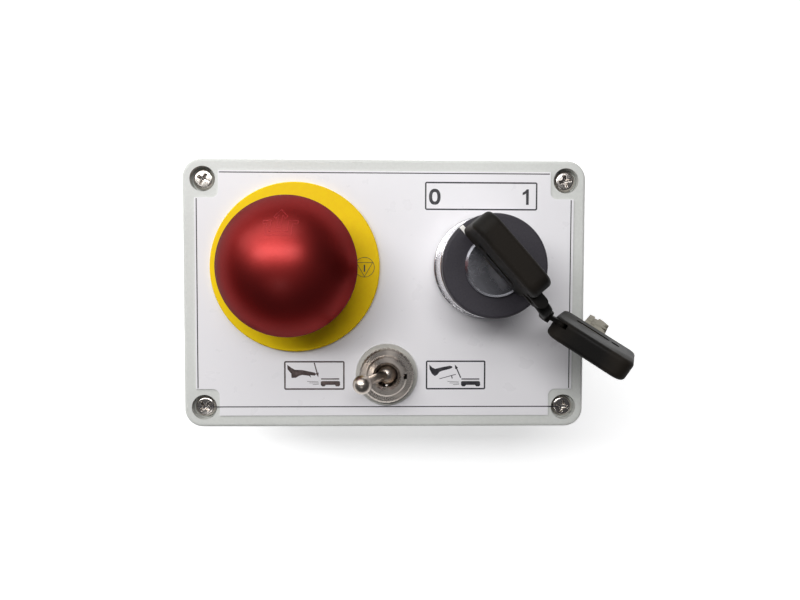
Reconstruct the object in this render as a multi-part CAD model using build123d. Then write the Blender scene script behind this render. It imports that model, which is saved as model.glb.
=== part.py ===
from build123d import *
import os
from math import atan, degrees, radians, sin, tan

# Wall-mounted control station: a plastic enclosure with a push-pull stop button, a key-operated
# selector switch with a linked pair of keys, and a toggle switch.
# Millimetres. Origin: centre of the enclosure's back face. +X along the long side, +Z out of the lid.

# ---------------------------------------------------------------- driving dimensions
BOX_LENGTH = 120.0
BOX_WIDTH = 80.0
BASE_DEPTH = 43.0
LID_DEPTH = 12.0
BOX_CORNER_R = 5.5
BOX_EDGE_R = 1.0
WALL = 3.0
FLOOR = 3.0
LID_TOP = 3.0
LID_EDGE_R = 0.4            # rounding of the lid's lower edge, which shows the parting line
COLUMN_SIDE = 11.5          # solid corner, measured in from both outer faces
COLUMN_CORNER_R = 2.0

TOP = BASE_DEPTH + LID_DEPTH        # every operator's heights are measured from the lid's outer face
LID_UNDER = TOP - LID_TOP

GASKET_OFFSET = 0.6
GASKET_WIDTH = 1.3
GASKET_HEIGHT = 1.2

LID_SCREW_INSET = 6.0
LID_SCREW_R = 1.8
LID_SCREW_LENGTH = 20.0
LID_SCREW_HEAD_R = 3.1
LID_SCREW_HEAD = 2.0
LID_RECESS_R = 3.75
LID_RECESS_DEPTH = 3.0

WALL_HOLE_X = BOX_LENGTH - 40.0     # spacing of the four wall fixing holes
WALL_HOLE_Y = BOX_WIDTH - 30.0
WALL_HOLE_R = 2.2
WALL_BOSS_R = 4.5
WALL_BOSS_HEIGHT = 2.0

ENTRY_X = BOX_LENGTH / 2 - 30.0     # cable entry in the lower side wall
ENTRY_Z = 19.0
ENTRY_R = 8.1
GROMMET_FLANGE_R = 10.5
GROMMET_FLANGE = 1.4
GROMMET_BORE_R = 3.5

LABEL_LENGTH = BOX_LENGTH - 7.4
LABEL_WIDTH = BOX_WIDTH - 7.1
LABEL_THICK = 0.4
LABEL_NOTCH_X = 7.0         # corner cut-outs that leave the screws free
LABEL_NOTCH_Y = 8.0
LABEL_NOTCH_R = 2.0

BARREL_R = 11.0             # 22 mm operators
PANEL_GAP = 0.25            # radial clearance of a barrel in the lid and the label
PANEL_HOLE_R = BARREL_R + PANEL_GAP
SEAL_R = 14.4
SEAL_THICK = 0.8
NUT_R = 14.6
NUT_THICK = 5.0
BARREL_LOW = TOP - 17.0
MOUNT_SIDE = 29.0
MOUNT_LOW = TOP - 25.0
MOUNT_HIGH = TOP - 9.0
MOUNT_CHAMBER_R = 10.6

ESTOP_X = 33.4 - BOX_LENGTH / 2
ESTOP_Y = 8.0
ESTOP_DISC_R = 25.0
ESTOP_DISC_THICK = 1.6
ESTOP_FLANGE_R = 15.0
ESTOP_FLANGE = 3.5
ESTOP_STEM_R = 5.5
ESTOP_STEM_LOW = TOP - 19.0
ESTOP_CHAMBER_R = 8.8
ESTOP_CHAMBER_LOW = TOP - 14.0
ESTOP_TRAVEL = 6.0
ESTOP_HEAD_R = 19.2
ESTOP_HEAD_RISE = 29.5      # top of the dome above the lid
ESTOP_RIM_RISE = 17.0       # widest rim above the lid
ESTOP_SKIRT_RISE = 10.5     # lower edge of the skirt above the lid
ESTOP_SKIRT_R = 17.4
ESTOP_SKIRT_WALL = 1.6
ESTOP_RIM = 1.0             # height of the rim between skirt and dome
ESTOP_ROOF = 2.0            # from the rim down to the hollow's roof
ESTOP_HUB_WALL = 3.5
ESTOP_HUB_DEPTH = 4.0       # from the rim down to the hub's lower end
ESTOP_SEAT = 1.4            # thickness of the stem's spring seat
LATCH_HEIGHT = 1.5
LATCH_SPLIT = 1.6
ESTOP_SPRING_WIRE_R = 0.5

KEY_X = BOX_LENGTH / 2 - 30.7
KEY_Y = 8.2
KEY_REST_DEG = 131.3        # the marker and the bow's free end point this way at "0"
KEY_TURN_DEG = 90.0
BEZEL_R = 15.0
BEZEL_TOP_R = 14.3
BEZEL_FOOT = 1.8
BEZEL_RISE = 17.0           # top of the bezel above the lid
KNOB_R = 14.1
KNOB_RISE = 21.5            # top of the knob ring above the lid
KNOB_SKIRT_R = 12.0
SLEEVE_HIGH_RISE = 4.8
CYLINDER_R = 8.25
CYLINDER_RISE = 23.0
CYLINDER_LOW = TOP - 13.0
MARKER_WIDTH = 1.2
MARKER_DEPTH = 0.5
CAM_R = 8.6
CAM_HUB_R = 4.5
CAM_HIGH = TOP - 17.4
CAM_MEAN = TOP - 21.4       # mean height of the sloping cam face
CAM_DEPTH = 6.0             # from the mean height down to the cam's lowest edge
CAM_PUSH = 2.4              # plunger travel over the full turn
CAM_OFFSET = 6.0            # plunger axis from the rotor axis
CAM_GAP = 0.3
RUN_GAP = 0.08              # radial clearance of running fits
SEAT_GAP = 0.03             # clearance of pieces that are fixed together

BOW_WIDTH = 22.8
BOW_HEIGHT = 20.0
BOW_THICK = 5.8
BOW_SHIFT = 1.6             # the bow's middle plane lies this far from the blade's
BOW_OFFSET = 1.7            # the bow's centre lies this far to the free side of the blade
BOW_TOP_R = 3.6
BOW_LOW_R = 2.4
BOW_EDGE_R = 1.2
BOW_MARK_R = 1.3            # shallow moulded marks on the broad faces
BOW_MARK_DEPTH = 0.5
BOW_RISE = 25.0             # the bow's lower edge above the lid
BLADE_WIDTH = 6.6
BLADE_THICK = 2.0
BLADE_LENGTH = 24.8
BLADE_ROOT = 8.0            # length of blade moulded into the bow
BLADE_GAP = 0.1
CUT_DEPTHS = (1.2, 2.1, 0.8, 1.7, 1.3)
WAFER_COUNT = 5
WAFER_PITCH = 3.4
WAFER_FIRST = 5.0           # first wafer below the cylinder's face, first cut below the bow
WAFER_THICK = 1.0
WAFER_LENGTH = 11.6
WAFER_WIDTH = 7.0

HINGE_PIN_R = 0.7
EYE_R = 1.5
EYE_HEIGHT = 3.2
EYE_OUT = 2.0               # hinge axis from the first bow's end face
EYE_RISE = 12.2             # hinge height above the first bow's lower edge
EAR_THICK = 1.3
TONGUE_THICK = 1.2
TONGUE_WIDTH = 1.8
TONGUE_GAP = 0.1
CORNER_PIN = 1.9            # the second bow's hinge pin from its end and top
STRAP_WIDTH = 3.2
STRAP_THICK = 2.0
STRAP_EDGE_R = 0.6
STRAP_BEND_R = 2.0
STRAP_LEAVES = 2.8          # straight run of the strap from the first key's eye
STRAP_LEAVES_DEG = -52.0    # its direction, from +X
STRAP_ARRIVES = 1.6         # straight run into the tongue
TONGUE_UP_DEG = 23.5        # the tongue leaves the second bow's end this far above its length
TONGUE_REACH = 3.2

LINK_X = 8.85               # from the first key's hinge to the second key's
LINK_Y = -5.99
LINK_Z = -12.34
SPARE_HEADING = -33.6       # the second bow's length, from +X
SPARE_TILT = -18.2          # its outer end is raised
SPARE_LEAN = 14.2           # its blade leans away from the enclosure

TOGGLE_X = 0.5
TOGGLE_Y = -24.0
BUSHING_R = 6.0
TOGGLE_HOLE_R = BUSHING_R + 0.15
BUSHING_RISE = 5.0
BUSHING_MOUTH_R = 3.35
BUSHING_BORE_R = 5.0
TOGGLE_WASHER_R = 9.2
TOGGLE_WASHER = 0.8
RING_NUT_R = 8.0
RING_NUT = 2.8
RING_NUT_FLUTES = 36
KEYWAY_WIDTH = 1.6
LOCK_WASHER_R = 8.2
LOCK_WASHER = 0.8
HEX_NUT_R = 8.1
HEX_NUT = 2.6
SWITCH_LENGTH = 28.0
SWITCH_WIDTH = 15.0
SWITCH_LOW = TOP - 30.0
SWITCH_HIGH = TOP - 8.0
SWITCH_WALL = 1.5
LEVER_LEAN = 20.0
LEVER_BALL_R = 2.65
LEVER_LENGTH = 19.3         # pivot to the centre of the end ball
LEVER_NECK_R = 1.3
PIVOT_BALL_R = 3.2
PIVOT_PIN_R = 0.8
TAIL_R = 1.4
TAIL_LENGTH = 11.0
PLUNGER_R = 0.9
PLUNGER_LENGTH = 14.5
ROCKER_Z = TOP - 17.0
ROCKER_LEAN = 12.0
ROCKER_HALF = 9.0
ROCKER_WIDTH = 6.0
ROCKER_PIN_R = 1.0
LUG_THICK = 0.8
LUG_WIDTH = 4.8
LUG_INSET = 4.5             # outer lugs from the switch body's ends
LUG_OUT = 9.0
LUG_IN = 6.0
LUG_HOLE_R = 0.9

BLOCK_WIDTH = 14.0          # contact blocks
BLOCK_LENGTH = 34.0
BLOCK_LOW = TOP - 48.0
BLOCK_HIGH = MOUNT_LOW
CHAMBER_WIDTH = 8.4
CHAMBER_LENGTH = 22.0
CHAMBER_LOW = TOP - 44.5
CHAMBER_HIGH = TOP - 29.0
PUSHER_R = 2.4
PUSHER_LOW = TOP - 37.0
STRIP_WIDTH = 6.0
STRIP_THICK = 0.8
BRIDGE_HALF = 7.5
BRIDGE_THICK = 0.8
ESTOP_STRIP_Z = TOP - 32.0  # the stop button's bridge opens downwards from under its strips
ESTOP_BRIDGE_Z = ESTOP_STRIP_Z - BRIDGE_THICK - 0.3
KEY_STRIP_Z = TOP - 39.0    # the key's bridge comes down onto its strips
KEY_BRIDGE_Z = KEY_STRIP_Z + STRIP_THICK + CAM_PUSH + 0.2
STRIP_INNER = 5.0           # inner ends of the fixed contacts from the block's middle
POCKET_DEPTH = 5.0          # terminal pockets below the fixed contacts
CLAMP_SCREW_R = 1.5
CLAMP_SHANK = 3.5
CLAMP_HEAD = 1.8
CLAMP_BOSS = 2.0
CONTACT_SPRING_R = 1.6
CONTACT_SPRING_WIRE_R = 0.22
CLAMP_HEAD_R = 2.4

LABEL_TOP = TOP + LABEL_THICK
UP = (Align.CENTER, Align.CENTER, Align.MIN)

pieces = {}


# ---------------------------------------------------------------- small shapes
def disc(radius, low, high, x=0.0, y=0.0):
    """Upright cylinder between two heights."""
    return Pos(x, y, low) * Cylinder(radius, high - low, align=UP)


def ring(outer, inner, low, high, x=0.0, y=0.0):
    """Upright tube between two heights."""
    return disc(outer, low, high, x, y) - disc(inner, low - 1, high + 1, x, y)


def block(x_low, x_high, y_low, y_high, z_low, z_high):
    """Box given by its limits."""
    size = Box(x_high - x_low, y_high - y_low, z_high - z_low)
    return Pos((x_low + x_high) / 2, (y_low + y_high) / 2, (z_low + z_high) / 2) * size


def prism(sketch, low, high):
    """A flat outline raised between two heights."""
    return Pos(0, 0, low) * extrude(sketch, high - low)


def four(half_x, half_y):
    """The four corners of a rectangle about the origin."""
    return [(x, y) for x in (-half_x, half_x) for y in (-half_y, half_y)]


def coil(radius, wire, low, high, turns, x, y):
    """Helical compression spring whose wire stays between two heights."""
    rise = high - low - 2 * wire
    path = Helix(rise / turns, rise, radius, center=(x, y, low + wire))
    section = Plane(path @ 0, z_dir=path % 0) * Circle(wire)
    return sweep(section, path=path, is_frenet=True)


# ---------------------------------------------------------------- enclosure
def cavity_outline(grow=0.0):
    """Inner outline of the enclosure: a rectangle that steps round the four corner columns."""
    outline = Rectangle(BOX_LENGTH - 2 * WALL, BOX_WIDTH - 2 * WALL)
    for x, y in four(BOX_LENGTH / 2, BOX_WIDTH / 2):
        outline -= Pos(x, y) * Rectangle(2 * COLUMN_SIDE, 2 * COLUMN_SIDE)
    outline = fillet(outline.vertices(), COLUMN_CORNER_R)
    return offset(outline, grow) if grow else outline


def enclosure():
    shell = RectangleRounded(BOX_LENGTH, BOX_WIDTH, BOX_CORNER_R)
    screws = four(BOX_LENGTH / 2 - LID_SCREW_INSET, BOX_WIDTH / 2 - LID_SCREW_INSET)
    seat = TOP - LID_RECESS_DEPTH
    gasket_inner = cavity_outline(GASKET_OFFSET)
    gasket_outer = cavity_outline(GASKET_OFFSET + GASKET_WIDTH)
    gasket = prism(gasket_outer - gasket_inner, BASE_DEPTH, BASE_DEPTH + GASKET_HEIGHT)

    base = prism(shell, 0, BASE_DEPTH)
    base = fillet(base.faces().sort_by(Axis.Z)[0].edges(), BOX_EDGE_R)
    base -= prism(cavity_outline(), FLOOR, BASE_DEPTH)
    for x, y in four(WALL_HOLE_X / 2, WALL_HOLE_Y / 2):
        base += disc(WALL_BOSS_R, FLOOR, FLOOR + WALL_BOSS_HEIGHT, x, y)
        base -= disc(WALL_HOLE_R, -1, FLOOR + WALL_BOSS_HEIGHT + 1, x, y)
    for x, y in screws:
        low = seat - LID_SCREW_LENGTH - 1
        base -= disc(LID_SCREW_R + SEAT_GAP, low, BASE_DEPTH + 1, x, y)
    entry = Pos(ENTRY_X, -BOX_WIDTH / 2, ENTRY_Z) * Rot(90, 0, 0)
    base -= entry * Cylinder(ENTRY_R, 4 * WALL)

    lid = prism(shell, BASE_DEPTH, TOP)
    lid = fillet(lid.faces().sort_by(Axis.Z)[-1].edges(), BOX_EDGE_R)
    lid = fillet(lid.faces().sort_by(Axis.Z)[0].edges(), LID_EDGE_R)
    lid -= prism(cavity_outline(), BASE_DEPTH, LID_UNDER)
    lid -= gasket
    for x, y in screws:
        lid -= disc(LID_RECESS_R, seat, TOP + 1, x, y)
        lid -= disc(LID_SCREW_R + 0.2, BASE_DEPTH - 1, TOP, x, y)
    lid -= disc(PANEL_HOLE_R, BASE_DEPTH, TOP + 1, ESTOP_X, ESTOP_Y)
    lid -= disc(PANEL_HOLE_R, BASE_DEPTH, TOP + 1, KEY_X, KEY_Y)
    lid -= disc(TOGGLE_HOLE_R, BASE_DEPTH, TOP + 1, TOGGLE_X, TOGGLE_Y)

    pieces["enclosure_base"] = base
    pieces["enclosure_lid"] = lid
    pieces["lid_gasket"] = gasket
    pieces["lid_screws"] = Compound([lid_screw(x, y, seat) for x, y in screws])
    pieces["cable_grommet"] = entry * grommet()


def lid_screw(x, y, seat):
    """Pan-head screw with a cross recess."""
    head = disc(LID_SCREW_HEAD_R, seat, seat + LID_SCREW_HEAD, x, y)
    head = fillet(head.faces().sort_by(Axis.Z)[-1].edges(), 0.45 * LID_SCREW_HEAD)
    arm = 1.1 * LID_SCREW_HEAD_R
    cross = Box(arm, 0.28 * arm, LID_SCREW_HEAD) + Box(0.28 * arm, arm, LID_SCREW_HEAD)
    head -= Pos(x, y, seat + LID_SCREW_HEAD) * Rot(0, 0, 30) * cross
    return head + disc(LID_SCREW_R, seat - LID_SCREW_LENGTH, seat, x, y)


def grommet():
    """Rubber cable grommet about local Z, which points out of the lower side wall."""
    body = Cylinder(ENTRY_R, WALL, align=(Align.CENTER, Align.CENTER, Align.MAX))
    body += Cylinder(GROMMET_FLANGE_R, GROMMET_FLANGE, align=UP)
    body += Pos(0, 0, -WALL - GROMMET_FLANGE) * Cylinder(GROMMET_FLANGE_R, GROMMET_FLANGE, align=UP)
    body -= Cylinder(GROMMET_BORE_R, 4 * (WALL + GROMMET_FLANGE))
    return body


def label():
    """Thin front plate with notched corners and one hole for each operator."""
    plate = Rectangle(LABEL_LENGTH, LABEL_WIDTH)
    for x, y in four(LABEL_LENGTH / 2, LABEL_WIDTH / 2):
        plate -= Pos(x, y) * Rectangle(2 * LABEL_NOTCH_X, 2 * LABEL_NOTCH_Y)
    inner = [v for v in plate.vertices()
             if abs(v.X) < LABEL_LENGTH / 2 - 1 and abs(v.Y) < LABEL_WIDTH / 2 - 1]
    plate = fillet(inner, LABEL_NOTCH_R)
    plate -= Pos(ESTOP_X, ESTOP_Y) * Circle(PANEL_HOLE_R)
    plate -= Pos(KEY_X, KEY_Y) * Circle(PANEL_HOLE_R)
    plate -= Pos(TOGGLE_X, TOGGLE_Y) * Circle(TOGGLE_HOLE_R)
    pieces["label_plate"] = prism(plate, TOP, LABEL_TOP)


# ---------------------------------------------------------------- parts shared by both operators
def panel_seal(base, x, y):
    return ring(SEAL_R, BARREL_R + 0.1, base, base + SEAL_THICK, x, y)


def lock_nut(x, y):
    """Twelve-sided nut that pulls the barrel down on the lid."""
    outline = RegularPolygon(NUT_R, 12) - Circle(BARREL_R + SEAT_GAP)
    return Pos(x, y) * prism(outline, LID_UNDER - NUT_THICK, LID_UNDER)


def mount_collar(x, y):
    """Square adapter that grips the barrel and carries the contact block."""
    half = MOUNT_SIDE / 2
    body = block(x - half, x + half, y - half, y + half, MOUNT_LOW, MOUNT_HIGH)
    body = fillet(body.edges().filter_by(Axis.Z), 3)
    body -= disc(BARREL_R + SEAT_GAP, BARREL_LOW, MOUNT_HIGH + 1, x, y)
    return body - disc(MOUNT_CHAMBER_R, MOUNT_LOW - 1, BARREL_LOW, x, y)


def contact_block(prefix, x, y, pusher_top, travel, strip_z, bridge_z):
    """Housing, two fixed contacts, clamp screws, and the pusher, bridge and spring that move."""
    wide = BLOCK_WIDTH / 2
    long = BLOCK_LENGTH / 2
    room = CHAMBER_LENGTH / 2
    pocket = room + 1.2
    pocket_low = strip_z - POCKET_DEPTH
    clamp_y = (pocket + long) / 2

    housing = block(x - wide, x + wide, y - long, y + long, BLOCK_LOW, BLOCK_HIGH)
    housing = fillet(housing.edges().filter_by(Axis.Z), 1)
    half = CHAMBER_WIDTH / 2
    housing -= block(x - half, x + half, y - room, y + room, CHAMBER_LOW, CHAMBER_HIGH)
    housing -= disc(PUSHER_R + RUN_GAP, CHAMBER_HIGH - 1, BLOCK_HIGH + 1, x, y)

    strips = []
    screws = []
    half = STRIP_WIDTH / 2
    for side in (-1, 1):
        near, far = sorted((y + side * pocket, y + side * (long + 1)))
        housing -= block(x - half - 0.3, x + half + 0.3, near, far, pocket_low, BLOCK_HIGH + 1)
        near, far = sorted((y + side * STRIP_INNER, y + side * (long - 0.4)))
        strip = block(x - half, x + half, near, far, strip_z, strip_z + STRIP_THICK)
        housing -= strip
        middle = y + side * clamp_y
        shank_low = strip_z - CLAMP_SHANK
        head_low = strip_z + STRIP_THICK
        strip += disc(CLAMP_HEAD_R - 0.2, strip_z - CLAMP_BOSS, strip_z, x, middle)
        strip -= disc(CLAMP_SCREW_R + SEAT_GAP, strip_z - 3, strip_z + 2, x, middle)
        strips.append(strip)
        screw = disc(CLAMP_HEAD_R, head_low, head_low + CLAMP_HEAD, x, middle)
        screw += disc(CLAMP_SCREW_R, shank_low, head_low, x, middle)
        screw -= block(x - 3, x + 3, middle - 0.4, middle + 0.4,
                       head_low + CLAMP_HEAD / 2, head_low + 3)
        screws.append(screw)

    pusher = disc(PUSHER_R, PUSHER_LOW, pusher_top, x, y)
    pusher = fillet(pusher.faces().sort_by(Axis.Z)[-1].edges(), 0.8 * PUSHER_R)
    bridge = block(x - 2, x + 2, y - BRIDGE_HALF, y + BRIDGE_HALF, bridge_z, bridge_z + BRIDGE_THICK)
    bridge -= disc(PUSHER_R - 0.8, bridge_z - 1, bridge_z + 2, x, y)
    pusher -= block(x - 2.5, x + 2.5, y - 3, y + 3, bridge_z, bridge_z + BRIDGE_THICK)
    pusher += disc(PUSHER_R - 0.8, bridge_z - 0.5, bridge_z + 1.3, x, y)

    pieces[prefix + "_contact_housing"] = housing
    pieces[prefix + "_fixed_contacts"] = Compound(strips)
    pieces[prefix + "_terminal_screws"] = Compound(screws)
    pieces[prefix + "_contact_pusher"] = pusher
    pieces[prefix + "_contact_bridge"] = bridge
    free = PUSHER_LOW - CHAMBER_LOW
    turns = max(2, round((free - travel) / 1.0))
    pieces[prefix + "_contact_spring"] = coil(CONTACT_SPRING_R, CONTACT_SPRING_WIRE_R,
                                              CHAMBER_LOW, PUSHER_LOW, turns, x, y)


# ---------------------------------------------------------------- stop button
def stop_button():
    x, y = ESTOP_X, ESTOP_Y
    disc_top = LABEL_TOP + ESTOP_DISC_THICK
    flange_low = disc_top + SEAL_THICK
    flange_top = flange_low + ESTOP_FLANGE

    legend = ring(ESTOP_DISC_R, PANEL_HOLE_R, LABEL_TOP, disc_top, x, y)
    pieces["estop_legend_disc"] = chamfer(legend.edges().group_by(Axis.Z)[-1], 0.3)
    pieces["estop_panel_seal"] = panel_seal(disc_top, x, y)

    collar = disc(ESTOP_FLANGE_R, flange_low, flange_top, x, y)
    collar = chamfer(collar.faces().sort_by(Axis.Z)[-1].edges(), 1.0)
    collar += disc(BARREL_R, BARREL_LOW, flange_low, x, y)
    collar -= disc(ESTOP_CHAMBER_R, ESTOP_CHAMBER_LOW, flange_top + 1, x, y)
    collar -= disc(ESTOP_STEM_R + RUN_GAP, BARREL_LOW - 1, ESTOP_CHAMBER_LOW + 1, x, y)
    pieces["estop_collar"] = collar
    pieces["estop_lock_nut"] = lock_nut(x, y)
    pieces["estop_mount_collar"] = mount_collar(x, y)

    latch_low = ESTOP_CHAMBER_LOW
    latch_top = latch_low + LATCH_HEIGHT
    latch = ring(ESTOP_CHAMBER_R - SEAT_GAP, ESTOP_STEM_R + 0.5, latch_low, latch_top, x, y)
    half = LATCH_SPLIT / 2
    latch -= block(x, x + ESTOP_CHAMBER_R + 1, y - half, y + half, latch_low - 1, latch_top + 1)
    pieces["estop_latch_ring"] = latch

    socket_top = TOP + ESTOP_RIM_RISE
    seat_high = flange_top - 1.0
    seat_low = seat_high - ESTOP_SEAT
    stem = disc(ESTOP_STEM_R, ESTOP_STEM_LOW, socket_top, x, y)
    stem += disc(ESTOP_CHAMBER_R - 0.4, seat_low, seat_high, x, y)
    pieces["estop_stem"] = chamfer(stem.faces().sort_by(Axis.Z)[0].edges(), 0.5)
    spring_r = (ESTOP_STEM_R + ESTOP_CHAMBER_R) / 2
    pieces["estop_spring"] = coil(spring_r, ESTOP_SPRING_WIRE_R, latch_top, seat_low, 5, x, y)
    pieces["estop_head"] = Pos(x, y, TOP) * mushroom(socket_top - TOP)

    pusher_top = ESTOP_STEM_LOW - 0.2
    contact_block("estop", x, y, pusher_top, ESTOP_TRAVEL, ESTOP_STRIP_Z, ESTOP_BRIDGE_Z)


def mushroom(socket_high):
    """Hollow mushroom head about Z, with heights measured from the lid."""
    rim = ESTOP_RIM_RISE
    skirt = ESTOP_SKIRT_RISE
    dome_low = rim + ESTOP_RIM
    rise = ESTOP_HEAD_RISE - dome_low
    sphere_r = (ESTOP_HEAD_R ** 2 + rise ** 2) / (2 * rise)
    half_r = 0.62 * ESTOP_HEAD_R
    half_z = ESTOP_HEAD_RISE - sphere_r + (sphere_r ** 2 - half_r ** 2) ** 0.5
    hub = ESTOP_STEM_R + ESTOP_HUB_WALL
    inner = ESTOP_SKIRT_R - ESTOP_SKIRT_WALL
    hub_low = rim - ESTOP_HUB_DEPTH
    roof = rim - ESTOP_ROOF
    profile = Polyline((0, ESTOP_HEAD_RISE), (0, hub_low), (hub, hub_low), (hub, roof),
                       (inner, roof), (inner, skirt), (ESTOP_SKIRT_R, skirt),
                       (ESTOP_HEAD_R, rim), (ESTOP_HEAD_R, dome_low))
    dome = ThreePointArc((ESTOP_HEAD_R, dome_low), (half_r, half_z), (0, ESTOP_HEAD_RISE))
    face = Plane.XZ * make_face(profile + dome)
    head = revolve(face, Axis.Z)
    rims = [e for e in head.edges().filter_by(GeomType.CIRCLE)
            if abs(e.radius - ESTOP_HEAD_R) < 0.01]
    head = fillet(rims, 0.8)
    return head - disc(ESTOP_STEM_R + SEAT_GAP, hub_low - 1, socket_high)


# ---------------------------------------------------------------- key-operated selector
def key_selector():
    x, y = KEY_X, KEY_Y
    foot = LABEL_TOP + SEAL_THICK
    bezel_top = TOP + BEZEL_RISE
    knob_top = TOP + KNOB_RISE
    sleeve_high = TOP + SLEEVE_HIGH_RISE
    pieces["key_panel_seal"] = panel_seal(LABEL_TOP, x, y)

    bezel = disc(BEZEL_R, foot, foot + BEZEL_FOOT, x, y)
    bezel = fillet(bezel.faces().sort_by(Axis.Z)[-1].edges(), 0.5)
    wall = Cone(BEZEL_R - 0.45, BEZEL_TOP_R, bezel_top - foot - BEZEL_FOOT, align=UP)
    wall = fillet(wall.faces().sort_by(Axis.Z)[-1].edges(), 0.4)
    bezel += Pos(x, y, foot + BEZEL_FOOT) * wall
    bezel -= disc(KNOB_SKIRT_R + RUN_GAP, sleeve_high, bezel_top + 1, x, y)
    bezel -= disc(BARREL_R + SEAT_GAP, foot - 1, sleeve_high + 1, x, y)
    pieces["key_bezel"] = bezel

    pieces["key_sleeve"] = ring(BARREL_R, CYLINDER_R + RUN_GAP, BARREL_LOW, sleeve_high, x, y)
    pieces["key_lock_nut"] = lock_nut(x, y)
    pieces["key_mount_collar"] = mount_collar(x, y)

    knob = disc(KNOB_R, bezel_top + 0.3, knob_top, x, y)
    knob = fillet(knob.faces().sort_by(Axis.Z)[-1].edges(), 0.8)
    knob += disc(KNOB_SKIRT_R, sleeve_high + 0.3, bezel_top + 0.3, x, y)
    knob -= disc(CYLINDER_R + SEAT_GAP, sleeve_high, knob_top + 1, x, y)
    reach = KNOB_R - 0.1
    start = CYLINDER_R + 0.7
    marker = block(start, reach, -MARKER_WIDTH / 2, MARKER_WIDTH / 2,
                   knob_top - MARKER_DEPTH, knob_top)
    turned = Pos(x, y, 0) * Rot(0, 0, KEY_REST_DEG)
    marker = turned * marker & knob
    pieces["key_marker"] = marker
    pieces["key_knob_ring"] = knob - marker
    lock_parts(turned)

    cam = disc(CAM_R, CAM_MEAN - CAM_DEPTH, CAM_HIGH, x, y)
    slope = degrees(atan(CAM_PUSH / (2 * sin(radians(KEY_TURN_DEG / 2)) * CAM_OFFSET)))
    keep = Pos(x, y, CAM_MEAN) * Rot(0, 0, KEY_TURN_DEG / 2) * Rot(0, slope, 0)
    cam &= keep * Box(6 * CAM_R, 6 * CAM_R, 6 * CAM_R, align=UP)
    cam += disc(CAM_HUB_R, CAM_HIGH, CYLINDER_LOW, x, y)
    pieces["key_cam"] = cam

    face_at_rest = CAM_MEAN + CAM_PUSH / 2
    pusher_top = face_at_rest - CAM_GAP
    contact_block("key", x, y - CAM_OFFSET, pusher_top, CAM_PUSH, KEY_STRIP_Z, KEY_BRIDGE_Z)


def lock_parts(turned):
    """Lock cylinder with its key slot, and the wafers that the blade passes through."""
    face = TOP + CYLINDER_RISE
    cylinder = disc(CYLINDER_R, CYLINDER_LOW, face)
    cylinder = chamfer(cylinder.faces().sort_by(Axis.Z)[-1].edges(), 0.6)
    slot_low = TOP + BOW_RISE - BLADE_LENGTH - 1.0
    half_width = BLADE_WIDTH / 2 + BLADE_GAP
    half_thick = BLADE_THICK / 2 + BLADE_GAP
    cylinder -= block(-half_width, half_width, -half_thick, half_thick, slot_low, face + 1)
    wafers = []
    for index in range(WAFER_COUNT):
        low = face - WAFER_FIRST - index * WAFER_PITCH
        long = WAFER_LENGTH / 2
        wide = WAFER_WIDTH / 2
        gap = SEAT_GAP
        wafer = block(-long, long, -wide, wide, low - WAFER_THICK, low)
        cylinder -= block(-long - gap, long + gap, -wide - gap, wide + gap,
                          low - WAFER_THICK - gap, low + gap)
        window = block(-half_width - 0.2, half_width + 0.2, -half_thick - 0.2, half_thick + 0.2,
                       low - 2, low + 1)
        wafers.append(wafer - window)
    pieces["lock_cylinder"] = turned * cylinder
    pieces["lock_wafers"] = Compound([turned * wafer for wafer in wafers])


# ---------------------------------------------------------------- keys
def key_blank():
    """Bow and blade. Local Z runs up the blade, X points to the linked end, Z 0 is the shoulder."""
    far = BOW_WIDTH / 2 + BOW_OFFSET
    near = BOW_WIDTH / 2 - BOW_OFFSET
    outline = Pos((near - far) / 2, BOW_HEIGHT / 2) * Rectangle(BOW_WIDTH, BOW_HEIGHT)
    high = outline.vertices().group_by(Axis.Y)[-1]
    low = outline.vertices().group_by(Axis.Y)[0]
    outline = fillet(high, BOW_TOP_R)
    low = [v for v in outline.vertices() if v.Y < 0.01]
    outline = fillet(low, BOW_LOW_R)
    bow = extrude(Plane.XZ * outline, BOW_THICK / 2, both=True)
    bow = fillet(bow.faces().filter_by(Axis.Y).edges(), BOW_EDGE_R)
    mark_z = 0.38 * BOW_HEIGHT
    slot = SlotOverall(0.45 * BOW_WIDTH, 2 * BOW_MARK_R)
    for side in (-1, 1):
        face = Pos(0, side * BOW_THICK / 2, mark_z) * Rot(90, 0, 0)
        bow -= face * extrude(slot, BOW_MARK_DEPTH, both=True)
        bow -= face * Pos(-0.3 * BOW_WIDTH, 0, 0) * Cylinder(BOW_MARK_R, 2 * BOW_MARK_DEPTH)
    bow = Pos(0, BOW_SHIFT, 0) * bow

    half = BLADE_WIDTH / 2
    tip = BLADE_LENGTH
    outline = Polyline((-half, BLADE_ROOT), (-half, -tip + 3), (-half + 2.2, -tip), (half - 3.2, -tip),
                       (half, -tip + 3), (half, BLADE_ROOT), close=True)
    blade = extrude(Plane.XZ * make_face(outline), BLADE_THICK / 2, both=True)
    for index, depth in enumerate(CUT_DEPTHS):
        at = Pos(-half, 0, -WAFER_FIRST - index * WAFER_PITCH) * Rot(0, 45, 0)
        blade -= at * Box(1.42 * depth, 2 * BLADE_THICK, 1.42 * depth)
    groove = block(0.4, 1.6, -BLADE_THICK, -BLADE_THICK / 2 + 0.5, -tip - 1, -0.5)
    blade -= groove
    return bow - block(-half, half, -BLADE_THICK / 2, BLADE_THICK / 2, 0, BLADE_ROOT), blade


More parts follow.
